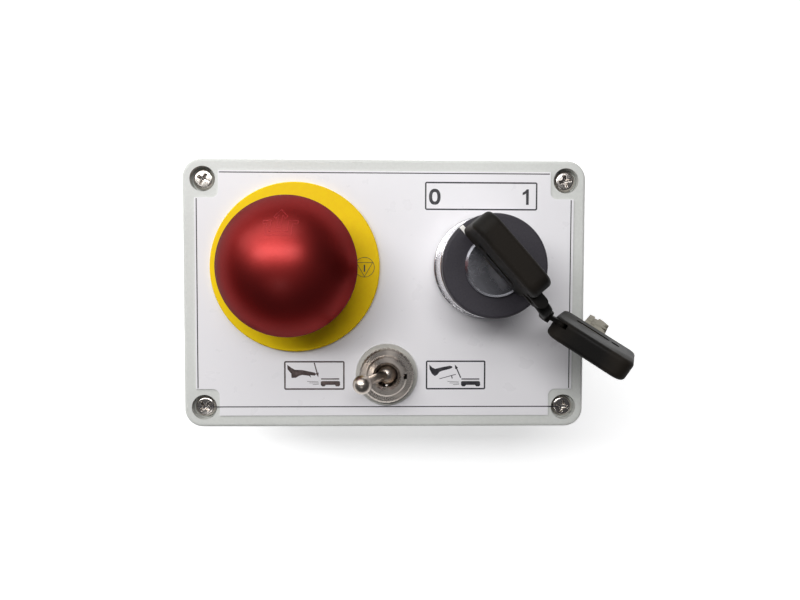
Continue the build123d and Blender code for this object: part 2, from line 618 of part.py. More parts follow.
def first_bow(bow):
    """Adds the two ears and the upright pin that hold the link."""
    end = BOW_WIDTH / 2 - BOW_OFFSET
    pin_x = end + EYE_OUT
    span = EYE_HEIGHT / 2 + RUN_GAP
    for low in (EYE_RISE - span - EAR_THICK, EYE_RISE + span):
        ear = block(end - 1.5, pin_x, -EYE_R, EYE_R, low, low + EAR_THICK)
        bow += ear + disc(EYE_R, low, low + EAR_THICK, pin_x, 0)
    return bow + disc(HINGE_PIN_R, EYE_RISE - span - 0.1, EYE_RISE + span + 0.1, pin_x, 0)


def spare_bow(bow):
    """Slots the linked corner for the link's tongue and puts a pin across it."""
    end = BOW_WIDTH / 2 - BOW_OFFSET
    pin_x = end - CORNER_PIN
    pin_z = BOW_HEIGHT - CORNER_PIN
    half = TONGUE_THICK / 2 + TONGUE_GAP
    room = EYE_R + 0.6
    bow -= block(pin_x - room, end + 1, -half, half, pin_z - room - 1.5, BOW_HEIGHT + 1)
    pin = Pos(pin_x, 0, pin_z) * Rot(90, 0, 0) * Cylinder(HINGE_PIN_R, 2 * half + 0.4)
    return bow + pin


def key_link(first, spare):
    """Moulded strap: an eye on the first key's pin, a bent strap, and a flat tongue on the second."""
    end = BOW_WIDTH / 2 - BOW_OFFSET
    eye_at = first * Pos(end + EYE_OUT, 0, EYE_RISE)
    tongue_at = spare * Pos(end - CORNER_PIN, 0, BOW_HEIGHT - CORNER_PIN)
    tongue_turn = tongue_at * Rot(0, -TONGUE_UP_DEG, 0)
    start = Vector(*eye_at.position)
    outside = Vector(*(tongue_turn * Pos(TONGUE_REACH, 0, 0)).position)
    before = Vector(*(tongue_turn * Pos(TONGUE_REACH + STRAP_ARRIVES, 0, 0)).position)
    leaves = Rot(0, 0, STRAP_LEAVES_DEG) * Pos(STRAP_LEAVES, 0, 0)
    after = start + Vector(*leaves.position)
    path = FilletPolyline(start, after, before, outside, radius=STRAP_BEND_R)
    section = Plane(path @ 0, x_dir=Vector(0, 0, 1), z_dir=path % 0)
    strap = sweep(section * RectangleRounded(STRAP_THICK, STRAP_WIDTH, STRAP_EDGE_R), path=path)
    strap += eye_at * Cylinder(EYE_R, EYE_HEIGHT)
    strap -= eye_at * Cylinder(HINGE_PIN_R + RUN_GAP, 2 * EYE_HEIGHT)
    clear_r = EYE_R + STRAP_EDGE_R
    clear = Cylinder(clear_r, 6 * EYE_HEIGHT) - Cylinder(clear_r, EYE_HEIGHT)
    strap -= eye_at * clear
    reach = TONGUE_REACH + STRAP_EDGE_R
    tongue = Rot(90, 0, 0) * Cylinder(EYE_R - 0.1, TONGUE_THICK)
    tongue += Pos(reach / 2, 0, 0) * Box(reach, TONGUE_THICK, TONGUE_WIDTH)
    tongue -= Rot(90, 0, 0) * Cylinder(HINGE_PIN_R + RUN_GAP, 2 * TONGUE_THICK)
    return strap + tongue_turn * tongue


def keys():
    first = Pos(KEY_X, KEY_Y, TOP + BOW_RISE) * Rot(0, 0, KEY_REST_DEG - 180)
    end = BOW_WIDTH / 2 - BOW_OFFSET
    link_hinge = (first * Pos(end + EYE_OUT, 0, EYE_RISE)).position
    spare_hinge = link_hinge + Vector(LINK_X, LINK_Y, LINK_Z)
    turned = Rot(0, 0, SPARE_HEADING) * Rot(0, SPARE_TILT, 0) * Rot(SPARE_LEAN, 0, 0)
    corner = Pos(end - CORNER_PIN, 0, BOW_HEIGHT - CORNER_PIN)
    spare = Pos(*spare_hinge) * turned * Rot(0, 0, 180) * corner.inverse()
    bow, blade = key_blank()
    pieces["key_1_bow"] = first * first_bow(bow)
    pieces["key_1_blade"] = first * blade
    pieces["key_2_bow"] = spare * spare_bow(bow)
    pieces["key_2_blade"] = spare * blade
    pieces["key_link"] = key_link(first, spare)
    print("link hinge", link_hinge)
    print("spare key hinge", spare_hinge, "axis", Plane(spare).y_dir)


# ---------------------------------------------------------------- toggle switch
def toggle_switch():
    x, y = TOGGLE_X, TOGGLE_Y
    washer_top = LABEL_TOP + TOGGLE_WASHER
    nut_top = washer_top + RING_NUT
    bushing_top = TOP + BUSHING_RISE
    pieces["toggle_washer"] = ring(TOGGLE_WASHER_R, BUSHING_R + 0.1, LABEL_TOP, washer_top, x, y)

    nut = ring(RING_NUT_R, BUSHING_R + SEAT_GAP, washer_top, nut_top, x, y)
    outer = [e for e in nut.edges().group_by(Axis.Z)[-1] if e.radius > BUSHING_R + 1]
    nut = chamfer(outer, 0.5)
    flute = Pos(RING_NUT_R + 0.15, 0, 0) * Rot(0, 0, 45) * Rectangle(0.6, 0.6)
    flutes = Sketch() + [Rot(0, 0, 360 * i / RING_NUT_FLUTES) * flute for i in range(RING_NUT_FLUTES)]
    pieces["toggle_ring_nut"] = nut - Pos(x, y) * prism(flutes, washer_top - 1, nut_top + 1)

    bushing = disc(BUSHING_R, SWITCH_HIGH, bushing_top, x, y)
    bushing = chamfer(bushing.faces().sort_by(Axis.Z)[-1].edges(), 0.5)
    bushing -= disc(BUSHING_MOUTH_R, SWITCH_HIGH, bushing_top + 1, x, y)
    bushing -= disc(BUSHING_BORE_R, SWITCH_HIGH - 1, TOP - PIVOT_BALL_R, x, y)
    mouth = Cone(BUSHING_MOUTH_R, BUSHING_MOUTH_R + 0.8, 0.8, align=UP)
    bushing -= Pos(x, y, bushing_top - 0.8) * mouth
    half = KEYWAY_WIDTH / 2
    depth = BUSHING_R - 1.0
    bushing -= block(x + depth, x + BUSHING_R + 1, y - half, y + half, SWITCH_HIGH + 1, bushing_top + 1)
    pin_hole = Pos(x, y, TOP) * Rot(90, 0, 0)
    bushing -= pin_hole * Cylinder(PIVOT_PIN_R + SEAT_GAP, 4 * BUSHING_R)
    pieces["toggle_bushing"] = bushing
    pieces["toggle_pivot_pin"] = pin_hole * Cylinder(PIVOT_PIN_R, 2 * BUSHING_R - 1.0)

    washer_low = LID_UNDER - LOCK_WASHER
    nut_low = washer_low - HEX_NUT
    bore = BUSHING_R + SEAT_GAP
    pieces["toggle_lock_washer"] = ring(LOCK_WASHER_R, bore, washer_low, LID_UNDER, x, y)
    hexagon = RegularPolygon(HEX_NUT_R, 6) - Circle(bore)
    pieces["toggle_inner_nut"] = Pos(x, y) * prism(hexagon, nut_low, washer_low)
    switch_body(x, y)
    toggle_moving(x, y)


def switch_body(x, y):
    """Switch housing, open at the top for the lever's tail, with three contact lugs."""
    long = SWITCH_LENGTH / 2
    wide = SWITCH_WIDTH / 2
    wall = SWITCH_WALL
    body = block(x - long, x + long, y - wide, y + wide, SWITCH_LOW, SWITCH_HIGH)
    body = fillet(body.edges().filter_by(Axis.Z), 1)
    body -= block(x - long + wall, x + long - wall, y - wide + wall, y + wide - wall,
                  SWITCH_LOW + wall, SWITCH_HIGH - wall)
    body -= disc(BUSHING_BORE_R + 0.4, SWITCH_HIGH - 3, SWITCH_HIGH + 1, x, y)
    pin = Pos(x, y, ROCKER_Z) * Rot(90, 0, 0) * Cylinder(ROCKER_PIN_R, SWITCH_WIDTH)
    lugs = []
    half = LUG_THICK / 2
    side = LUG_WIDTH / 2
    for offset_x in (LUG_INSET - long, 0, long - LUG_INSET):
        near = x + offset_x - half
        far = x + offset_x + half
        lug = block(near, far, y - side, y + side, SWITCH_LOW - LUG_OUT, SWITCH_LOW + LUG_IN)
        hole = Pos(x + offset_x, y, SWITCH_LOW - 2 / 3 * LUG_OUT) * Rot(0, 90, 0)
        lug -= hole * Cylinder(LUG_HOLE_R, 4 * LUG_THICK)
        body -= block(near, far, y - side, y + side, SWITCH_LOW, SWITCH_LOW + wall)
        lugs.append(lug)
    pieces["toggle_body"] = body - pin
    pieces["toggle_terminals"] = Compound(lugs)
    rocker_pin = Cylinder(ROCKER_PIN_R, SWITCH_WIDTH - 0.6)
    pieces["toggle_rocker_pin"] = Pos(x, y, ROCKER_Z) * Rot(90, 0, 0) * rocker_pin


def toggle_moving(x, y):
    """Lever with its ball pivot and sprung tail plunger, and the rocker that it tips."""
    end = LEVER_LENGTH
    neck_low = PIVOT_BALL_R - 0.6
    lever = Sphere(PIVOT_BALL_R)
    lever += Pos(0, 0, neck_low) * Cone(LEVER_NECK_R, LEVER_NECK_R + 0.25, end - neck_low, align=UP)
    lever += Pos(0, 0, end) * Sphere(LEVER_BALL_R)
    lever += disc(TAIL_R, -TAIL_LENGTH, 0)
    lever -= disc(PLUNGER_R + SEAT_GAP, -TAIL_LENGTH - 1, -TAIL_LENGTH + 6)
    lever -= Rot(90, 0, 0) * Cylinder(PIVOT_PIN_R + RUN_GAP, 4 * PIVOT_BALL_R)
    plunger = disc(PLUNGER_R, -PLUNGER_LENGTH, -TAIL_LENGTH + 6)
    plunger = fillet(plunger.faces().sort_by(Axis.Z)[0].edges(), 0.7 * PLUNGER_R)
    lean = Pos(x, y, TOP) * Rot(0, -LEVER_LEAN, 0)
    pieces["toggle_lever"] = lean * lever
    pieces["toggle_plunger"] = lean * plunger

    rise = ROCKER_HALF * tan(radians(LEVER_LEAN))
    outline = Polyline((-ROCKER_HALF, 2 + rise), (0, 2), (ROCKER_HALF, 2 + rise),
                       (ROCKER_HALF, rise), (2.5, -2), (-2.5, -2), (-ROCKER_HALF, rise), close=True)
    rocker = extrude(Plane.XZ * make_face(outline), ROCKER_WIDTH / 2, both=True)
    rocker -= Rot(90, 0, 0) * Cylinder(ROCKER_PIN_R + RUN_GAP, 2 * ROCKER_WIDTH)
    pieces["toggle_rocker"] = Pos(x, y, ROCKER_Z) * Rot(0, ROCKER_LEAN, 0) * rocker


enclosure()
label()
stop_button()
key_selector()
keys()
toggle_switch()

os.makedirs("parts", exist_ok=True)
for name, shape in pieces.items():
    export_step(shape, f"parts/{name}.step")
print(len(pieces), "nodes")
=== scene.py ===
import bmesh
import bpy
import numpy as np
from mathutils import Matrix, Vector


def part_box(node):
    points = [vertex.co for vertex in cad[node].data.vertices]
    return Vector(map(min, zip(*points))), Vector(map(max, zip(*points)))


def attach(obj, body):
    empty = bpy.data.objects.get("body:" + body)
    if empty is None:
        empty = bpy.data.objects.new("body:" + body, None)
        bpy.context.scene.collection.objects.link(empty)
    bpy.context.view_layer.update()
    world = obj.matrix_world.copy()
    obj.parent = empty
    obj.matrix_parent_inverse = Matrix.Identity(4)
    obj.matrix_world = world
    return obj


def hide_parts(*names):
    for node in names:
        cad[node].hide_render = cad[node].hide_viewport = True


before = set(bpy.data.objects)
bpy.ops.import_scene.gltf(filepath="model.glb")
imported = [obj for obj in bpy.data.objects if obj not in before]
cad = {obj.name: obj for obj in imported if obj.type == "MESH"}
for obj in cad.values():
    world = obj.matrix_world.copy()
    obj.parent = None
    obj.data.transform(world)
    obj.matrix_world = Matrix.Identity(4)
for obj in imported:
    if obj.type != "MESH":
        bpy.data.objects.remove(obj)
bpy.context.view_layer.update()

# Enclosure: a base and a lid moulded in light grey ABS, screwed together at the corners.
# The tool's fine spark texture shows on every outer face, and the grey is a little uneven.


class Wire:
    """One output in a material's nodes. Arithmetic on it adds Math nodes."""

    def __init__(self, tree, socket):
        self.tree = tree
        self.socket = socket

    def node(self, kind, settings, inputs, output=0):
        """Adds a node: first its settings, then the values or wires of its inputs."""
        made = self.tree.nodes.new(kind)
        for name, value in settings.items():
            if name == "stops":
                elements = made.color_ramp.elements
                for index, (at, level) in enumerate(value):
                    stop = elements[index] if index < 2 else elements.new(at)
                    stop.position = at
                    stop.color = (level, level, level, 1)
            else:
                setattr(made, name, value)
        for key, value in inputs.items():
            if isinstance(value, Wire):
                self.tree.links.new(value.socket, made.inputs[key])
            else:
                made.inputs[key].default_value = value
        return Wire(self.tree, made.outputs[output])

    def sum_with(self, operation, first, second):
        return self.node("ShaderNodeMath", {"operation": operation}, {0: first, 1: second})

    def __add__(self, other):
        return self.sum_with("ADD", self, other)

    __radd__ = __add__

    def __mul__(self, other):
        return self.sum_with("MULTIPLY", self, other)

    __rmul__ = __mul__

    def __sub__(self, other):
        return self.sum_with("SUBTRACT", self, other)

    def __rsub__(self, other):
        return self.sum_with("SUBTRACT", other, self)

    def band(self, low, high):
        """Rises smoothly from 0 at low to 1 at high."""
        settings = {"interpolation_type": "SMOOTHSTEP"}
        return self.node("ShaderNodeMapRange", settings, {"Value": self, 1: low, 2: high})

    def speckle(self, size, detail=3.0, stretch=(1, 1, 1), turn=(0, 0, 0)):
        """Noise on these coordinates whose blotches are about size metres across."""
        placed = self
        if stretch != (1, 1, 1) or turn != (0, 0, 0):
            inputs = {"Vector": self, "Rotation": turn, "Scale": stretch}
            placed = self.node("ShaderNodeMapping", {}, inputs)
        inputs = {"Vector": placed, "Scale": 0.5 / size, "Detail": detail}
        return self.node("ShaderNodeTexNoise", {}, inputs)

    def pits(self, spacing, radius):
        """Small round marks, 1 inside each: cells of that spacing, a dot at each centre."""
        found = self.node("ShaderNodeTexVoronoi", {}, {"Vector": self, "Scale": 1 / spacing})
        return 1 - found.band(0.6 * radius / spacing, radius / spacing)

    def tint(self, first, second):
        """Colour that goes from first to second as this wire goes from 0 to 1."""
        inputs = {0: self, 6: (*first, 1), 7: (*second, 1)}
        return self.node("ShaderNodeMix", {"data_type": "RGBA"}, inputs, 2)

    def relief(self, depth):
        """Surface bump of that depth, in metres."""
        return self.node("ShaderNodeBump", {}, {"Height": self, "Distance": depth})


def new_finish(name, **fixed):
    """A material, its main shader, and a wire of the piece's own coordinates."""
    material = bpy.data.materials.new(name)
    material.use_nodes = True
    tree = material.node_tree
    shader = tree.nodes["Principled BSDF"]
    feed(shader, fixed)
    place = tree.nodes.new("ShaderNodeTexCoord").outputs["Object"]
    return material, shader, Wire(tree, place)


def feed(shader, values):
    """Sets the shader's sockets, each from a number, a colour or a wire."""
    for name, value in values.items():
        socket = shader.inputs[name.replace("_", " ")]
        if isinstance(value, Wire):
            value.tree.links.new(value.socket, socket)
        else:
            socket.default_value = value


def moulded(name, light, dark, roughness, grain, depth, **fixed):
    """Plastic or rubber from a textured tool, its tone and gloss slightly uneven."""
    material, shader, place = new_finish(name, **fixed)
    clouds = place.speckle(0.02)
    texture = place.speckle(grain, 4.0)
    feed(shader, {
        "Base_Color": (0.6 * clouds.band(0.3, 0.7) + 0.4 * texture.band(0.3, 0.7)).tint(dark, light),
        "Roughness": roughness + 0.12 * (texture - 0.5) + 0.1 * (clouds - 0.5),
        "Normal": texture.relief(depth),
    })
    return material


def dress(material, *nodes):
    """Gives CAD nodes a finish."""
    for name in nodes:
        cad[name].data.materials.clear()
        cad[name].data.materials.append(material)


housing_grey = moulded("housing_grey", (0.70, 0.71, 0.68), (0.63, 0.64, 0.61), 0.42,
                       0.0004, 0.00006)
dress(housing_grey, "enclosure_base", "enclosure_lid")

# Lid gasket and cable grommet: black rubber. The gasket lies in its groove between the two
# halves, and the grommet is pressed into the hole in the lower side wall.

rubber = moulded("seal_rubber", (0.035, 0.035, 0.036), (0.015, 0.015, 0.016), 0.62,
                 0.0005, 0.00004)
dress(rubber, "lid_gasket", "cable_grommet", "estop_panel_seal", "key_panel_seal")

# Lid screws: four nickel-plated pan heads with a cross recess, turned in by hand, so each
# cross ends at its own angle. Each is one closed skin from the head's middle to the tip.

MM = 0.001
SCREW_HEAD_R = 3.1
SCREW_HEAD_HIGH = 2.0
SCREW_CROWN = 0.12
SCREW_SHANK_R = 1.8
SCREW_POINT_R = 0.5
SCREW_POINT_HIGH = 1.5
SCREW_LENGTH = 20.0
CROSS_REACH = 1.75
CROSS_HALF = 0.42
CROSS_DEEP = 1.25
CROSS_EDGE = 0.14
CROSS_TURNS = (62, 12, 40, 80)


def lathe(profile, turns, middle=(0.0, 0.0)):
    """Grid of points: a line of (radius, height) carried round the upright line at middle."""
    angle = np.linspace(0, 2 * np.pi, turns, endpoint=False)
    radius, height = np.asarray(profile, float).T
    across = middle[0] + radius[:, None] * np.cos(angle)
    along = middle[1] + radius[:, None] * np.sin(angle)
    return np.stack([across, along, height[:, None] + 0 * angle], axis=-1)


def skin(grid, round_first=False, round_second=True):
    """Points and four-sided faces of a grid, joined up along the directions that close."""
    rows, columns = grid.shape[:2]
    first = np.arange(rows if round_first else rows - 1)
    second = np.arange(columns if round_second else columns - 1)
    a, b = np.meshgrid(first, second, indexing="ij")
    c, d = (a + 1) % rows, (b + 1) % columns
    faces = np.stack([a * columns + b, c * columns + b, c * columns + d, a * columns + d], -1)
    return grid.reshape(-1, 3), faces.reshape(-1, 4).tolist()


def make_piece(name, skins, material, body, smooth=True):
    """One object from several skins in millimetres: poles merged, faces turned outwards."""
    points, faces, start = [], [], 0
    for some, quads in skins:
        points.append(some * MM)
        faces += [[start + i for i in face] for face in quads]
        start += len(some)
    mesh = bpy.data.meshes.new(name)
    mesh.from_pydata(np.concatenate(points).tolist(), [], faces)
    shape = bmesh.new()
    shape.from_mesh(mesh)
    bmesh.ops.remove_doubles(shape, verts=shape.verts, dist=1e-7)
    bmesh.ops.dissolve_degenerate(shape, edges=shape.edges, dist=1e-8)
    bmesh.ops.recalc_face_normals(shape, faces=shape.faces)
    shape.to_mesh(mesh)
    shape.free()
    mesh.shade_smooth() if smooth else mesh.shade_flat()
    mesh.materials.append(material)
    piece = bpy.data.objects.new(name, mesh)
    bpy.context.scene.collection.objects.link(piece)
    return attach(piece, body)


def plated(name, light, dark, roughness, stretch=(1, 1, 1), turn=(0, 0, 0), depth=0.00001,
           scuffs=0.12, grain=0.00015):
    """Bare or plated metal: drawn or polished lines, dull patches and small scuffs."""
    material, shader, place = new_finish(name, Metallic=1.0)
    lines = place.speckle(grain, 3.0, stretch, turn)
    dull = place.speckle(0.004)
    feed(shader, {
        "Base_Color": (0.5 * lines + 0.5 * dull.band(0.35, 0.7)).tint(light, dark),
        "Roughness": roughness + scuffs * dull.band(0.45, 0.75) + 0.1 * (lines - 0.5),
        "Normal": lines.relief(depth),
    })
    return material


def screw_profile(seat):
    """Radius and height down the head, its rounded shoulder, the shank and the point."""
    flat = np.linspace(0, 0.72 * SCREW_HEAD_R, 26)
    turn = np.linspace(0, np.pi / 2, 9)[1:]
    shoulder = SCREW_HEAD_R - flat[-1]
    radius = np.concatenate([flat, flat[-1] + shoulder * np.sin(turn)])
    height = np.concatenate([0 * flat, -shoulder * (1 - np.cos(turn))])
    height += SCREW_HEAD_HIGH - SCREW_CROWN * (radius / SCREW_HEAD_R) ** 2
    low = [(SCREW_HEAD_R, 0), (SCREW_SHANK_R, 0), (SCREW_SHANK_R, SCREW_POINT_HIGH - SCREW_LENGTH),
           (SCREW_POINT_R, -SCREW_LENGTH), (0, -SCREW_LENGTH)]
    line = np.concatenate([np.stack([radius, height], 1), low])
    return line + (0, seat)


def lid_screw(x, y, seat, turn):
    """The head sinks where both the reach and the half width of an arm are not passed."""
    grid = lathe(screw_profile(seat), 112)
    turned = np.radians(turn)
    over = grid[..., 0] * np.cos(turned) + grid[..., 1] * np.sin(turned)
    up = grid[..., 1] * np.cos(turned) - grid[..., 0] * np.sin(turned)
    aside = np.minimum(abs(over), abs(up))
    out = np.maximum(abs(over), abs(up))
    narrow = CROSS_HALF * (1.15 - 0.35 * out / CROSS_REACH)
    inside = np.clip((narrow - aside) / CROSS_EDGE + 0.5, 0, 1)
    inside = inside * np.clip((CROSS_REACH - out) / CROSS_EDGE + 0.5, 0, 1)
    on_head = grid[..., 2] > seat + SCREW_HEAD_HIGH / 2
    grid[..., 2] -= on_head * inside * CROSS_DEEP * (1.05 - 0.35 * out / CROSS_REACH)
    return skin(grid + (x, y, 0))


screw_low, screw_high = (np.array(corner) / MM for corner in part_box("lid_screws"))
screw_x = (screw_high[0] - screw_low[0]) / 2 - SCREW_HEAD_R
screw_y = (screw_high[1] - screw_low[1]) / 2 - SCREW_HEAD_R
screw_seat = screw_high[2] - SCREW_HEAD_HIGH
corners = [(-screw_x, screw_y), (screw_x, screw_y), (-screw_x, -screw_y), (screw_x, -screw_y)]
screws = make_piece(
    "lid_screw_set",
    [lid_screw(x, y, screw_seat, turn) for (x, y), turn in zip(corners, CROSS_TURNS)],
    plated("screw_nickel", (0.74, 0.70, 0.66), (0.46, 0.42, 0.38), 0.2),
    "enclosure")
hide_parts("lid_screws")

# Front label: a white polyester plate bonded to the lid, glossy, with the faint waviness of
# film laid over adhesive.

label_film, shader, place = new_finish("label_film", Coat_Roughness=0.06)
waves = place.speckle(0.012, 1.0)
dust = place.pits(0.006, 0.00012) * place.speckle(0.01).band(0.55, 0.7)
feed(shader, {
    "Base_Color": (0.5 * waves + 0.8 * dust).tint((0.88, 0.865, 0.885), (0.81, 0.795, 0.82)),
    "Roughness": 0.24 + 0.1 * place.speckle(0.003),
    "Normal": (waves + 0.02 * place.speckle(0.0006)).relief(0.00003),
    "Coat_Weight": 0.5 + 0.3 * (waves - 0.5),
})
dress(label_film, "label_plate")

# Border on the label: one ink line along each edge, screen printed. Each stroke of print on
# the film is a thin raised bar of ink.

INK_THICK = 0.03
INK_SUNK = 0.005
BORDER_LINE = 0.3
BORDER_LEFT_IN = 0.6
BORDER_RIGHT_IN = 0.8
BORDER_TOP_IN = 0.55
BORDER_LOW_IN = 2.65
BORDER_SHORT = 0.2
BORDER_END_X = 49.0
BORDER_END_Y = 28.2
label_low, label_high = (np.array(corner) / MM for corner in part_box("label_plate"))
label_top = label_high[2]


def ink_bar(path, width, base, thick, closed=False):
    """A flat bar along a line of (x, y) points: each point is offset both ways along the
    bisector of its corner, at the bar's underside and top."""
    line = np.asarray(path, float)
    if closed:
        before, after = line - np.roll(line, 1, 0), np.roll(line, -1, 0) - line
    else:
        step = np.diff(line, axis=0)
        before, after = np.vstack([step[:1], step]), np.vstack([step, step[-1:]])
    before /= np.linalg.norm(before, axis=1)[:, None]
    after /= np.linalg.norm(after, axis=1)[:, None]
    mean = before + after
    aside = np.stack([-mean[:, 1], mean[:, 0]], 1) / (1 + (before * after).sum(1))[:, None]
    left, right = line + aside * width / 2, line - aside * width / 2
    low, high = base + 0 * line[:, :1], base + thick + 0 * line[:, :1]
    grid = np.stack([np.hstack(pair) for pair in
                     ((left, low), (right, low), (right, high), (left, high))], 1)
    points, faces = skin(grid, closed)
    if not closed:
        last = len(points) - 4
        faces += [[3, 2, 1, 0], [last, last + 1, last + 2, last + 3]]
    return points, faces


def ink_patch(outline, base, thick):
    """A flat filled outline: its top, its underside and the wall between them."""
    ring = np.asarray(outline, float)
    count = len(ring)
    low, high = base + 0 * ring[:, :1], base + thick + 0 * ring[:, :1]
    points = np.vstack([np.hstack([ring, low]), np.hstack([ring, high])])
    walls = [[i, (i + 1) % count, count + (i + 1) % count, count + i] for i in range(count)]
    return points, [list(range(count))[::-1], list(range(count, 2 * count))] + walls


def rounded(x_low, x_high, y_low, y_high, radius):
    """Rectangle whose corners are quarter circles."""
    turn = np.linspace(0, np.pi / 2, 7)
    corner = np.stack([np.cos(turn), np.sin(turn)], 1) * radius
    spots = [(x_high - radius, y_high - radius), (x_low + radius, y_high - radius),
             (x_low + radius, y_low + radius), (x_high - radius, y_low + radius)]
    quarters = []
    for index, spot in enumerate(spots):
        s, c = (0, 1, 0, -1)[index], (1, 0, -1, 0)[index]
        quarters.append(corner @ np.array([[c, s], [-s, c]]) + spot)
    return np.concatenate(quarters)


def printed(name, light, dark):
    """Screen ink: nearly matte, a little thinner in places."""
    material, shader, place = new_finish(name)
    thin = place.speckle(0.0008)
    feed(shader, {
        "Base_Color": thin.band(0.4, 0.75).tint(dark, light),
        "Roughness": 0.35 + 0.2 * thin,
        "Normal": thin.relief(0.000005),
    })
    return material


black_ink = printed("black_ink", (0.05, 0.048, 0.055), (0.014, 0.013, 0.018))
brown_ink = printed("brown_ink", (0.12, 0.085, 0.08), (0.05, 0.032, 0.03))


def on_label(path, width, closed=False):
    """An ink line whose underside is sunk a little into the film."""
    return ink_bar(path, width, label_top - INK_SUNK, INK_THICK, closed)


def patch_on_label(outline):
    """A filled ink shape, sunk as the lines are."""
    return ink_patch(outline, label_top - INK_SUNK, INK_THICK)


line_left = label_low[0] + BORDER_LEFT_IN
line_right = label_high[0] - BORDER_RIGHT_IN
line_top = label_high[1] - BORDER_TOP_IN
line_low = label_low[1] + BORDER_LOW_IN
border = [
    on_label([(-BORDER_END_X, line_top), (BORDER_END_X, line_top)], BORDER_LINE),
    on_label([(line_left, -BORDER_END_Y), (line_left, BORDER_END_Y)], BORDER_LINE),
    on_label([(line_right, -BORDER_END_Y), (line_right, BORDER_END_Y)], BORDER_LINE),
    on_label([(line_left + BORDER_SHORT, line_low), (line_right - BORDER_SHORT, line_low)], BORDER_LINE),
]
make_piece("label_border", border, black_ink, "enclosure", smooth=False)

# Switch figures: 0 at the left end and 1 at the right end of a long frame, above the selector.
# The 0 is a superellipse, a ring whose sides are straighter than a circle's.

FRAME_LINE = 0.44
FRAME_CORNER_R = 0.3
FIGURE_FRAME_CORNER_R = 0.35
FIGURE_LINE = 0.95
ZERO_X = 14.7
ZERO_Y = 29.0
ZERO_HALF_WIDE = 1.25
ZERO_HALF_HIGH = 1.88


def power_curve(angles, power):
    """Cosine of the angles raised to that power, with its sign kept."""
    return np.sign(np.cos(angles)) * abs(np.cos(angles)) ** power


turn = np.linspace(0, 2 * np.pi, 48, endpoint=False)
zero = np.stack([ZERO_X + ZERO_HALF_WIDE * power_curve(turn, 0.8),
                 ZERO_Y + ZERO_HALF_HIGH * power_curve(turn - np.pi / 2, 0.9)], 1)
one = [(41.95, 26.75), (42.75, 26.75), (42.75, 31.35), (42.1, 31.35), (41.6, 30.75),
       (40.9, 30.35), (40.9, 29.62), (41.45, 29.8), (41.95, 30.12)]
figures = [
    on_label(rounded(12.0, 45.1, 25.3, 33.2, FIGURE_FRAME_CORNER_R), FRAME_LINE, closed=True),
    on_label(zero, FIGURE_LINE, closed=True),
    patch_on_label(one),
]
make_piece("selector_figures", figures, black_ink, "enclosure", smooth=False)

# Pictograms: two framed signs beside the toggle, an arm that tips down and one that tips up,
# each beside a trolley with the lines of its travel.

TRAVEL_LINE = 0.11
SHAFT_HALF = 0.17
ARROW_HALF = 0.48
ARROW_LONG = 1.3


def trolley(x, y):
    """Flat deck over a low chassis with two wheel feet, and the lines of its travel."""
    deck = [(0.2, 2.15), (5.6, 2.15), (5.6, 2.5), (0.2, 2.5)]
    chassis = [(0.1, 0.5), (0.5, 0.1), (1.2, 0.1), (1.6, 0.55), (4.3, 0.55), (4.7, 0.1),
               (5.5, 0.1), (5.9, 0.5), (5.8, 1.5), (5.4, 1.7), (0.5, 1.7), (0.1, 1.5)]
    lines = [[(-4.0, 1.6), (-0.6, 1.45)], [(-3.4, 1.15), (-0.5, 1.1)],
             [(-2.3, 0.65), (-0.5, 0.75)]]
    shift = np.array((x, y))
    found = [patch_on_label(np.array(shape) + shift) for shape in (deck, chassis)]
    return found + [on_label(np.array(line) + shift, TRAVEL_LINE) for line in lines]


def pointer(tail, tip):
    """Straight shaft that ends in a narrow arrow head."""
    tail, tip = np.array(tail), np.array(tip)
    along = (tip - tail) / np.linalg.norm(tip - tail)
    aside = np.array((-along[1], along[0]))
    neck = tip - ARROW_LONG * along
    narrow = SHAFT_HALF * aside
    wide = ARROW_HALF * aside
    outline = [tail - narrow, neck - narrow, neck - wide, tip, neck + wide, neck + narrow,
               tail + narrow]
    return patch_on_label(outline)


left = np.array((-29.9, -28.45))
arm_down = np.array([(0.7, 7.3), (1.9, 6.4), (3.0, 5.8), (5.2, 5.7), (7.2, 5.3), (9.0, 4.9),
                     (9.3, 4.4), (8.9, 4.05), (7.6, 4.15), (7.8, 3.4), (7.2, 4.0), (5.2, 4.25),
                     (4.2, 3.95), (3.3, 3.4), (2.0, 3.35), (1.9, 4.6), (0.8, 6.0)])
lower = [on_label(rounded(-29.9, -12.3, -28.45, -20.25, FRAME_CORNER_R), FRAME_LINE, closed=True),
         patch_on_label(arm_down + left), pointer(left + (8.75, 7.9), left + (9.95, 3.6))]
make_piece("pictogram_lower", lower + trolley(*(left + (10.6, 0.7))), brown_ink, "enclosure",
           smooth=False)

right = np.array((12.5, -28.4))
arm_up = np.array([(0.8, 7.3), (1.7, 6.4), (2.6, 6.0), (4.6, 6.5), (7.0, 6.95), (7.7, 6.75),
                   (7.75, 6.35), (7.0, 6.0), (5.0, 5.5), (3.9, 5.1), (3.3, 4.3), (2.5, 3.8),
                   (1.6, 4.5), (0.9, 5.9)])
upper = [on_label(rounded(12.5, 30.0, -28.4, -20.1, FRAME_CORNER_R), FRAME_LINE, closed=True),
         patch_on_label(arm_up + right), pointer(right + (10.3, 3.3), right + (8.5, 7.3)),
         on_label([right + (3.9, 3.0), right + (8.8, 4.35)], 0.2),
         on_label([right + (7.5, 3.95), right + (7.75, 3.1)], 0.28)]
make_piece("pictogram_raise", upper + trolley(*(right + (10.3, 0.6))), black_ink, "enclosure",
           smooth=False)

# Stop button's legend disc: yellow plastic, semi-gloss, clamped under the collar. Its printed
# mark is a ring round a triangle and a bar.

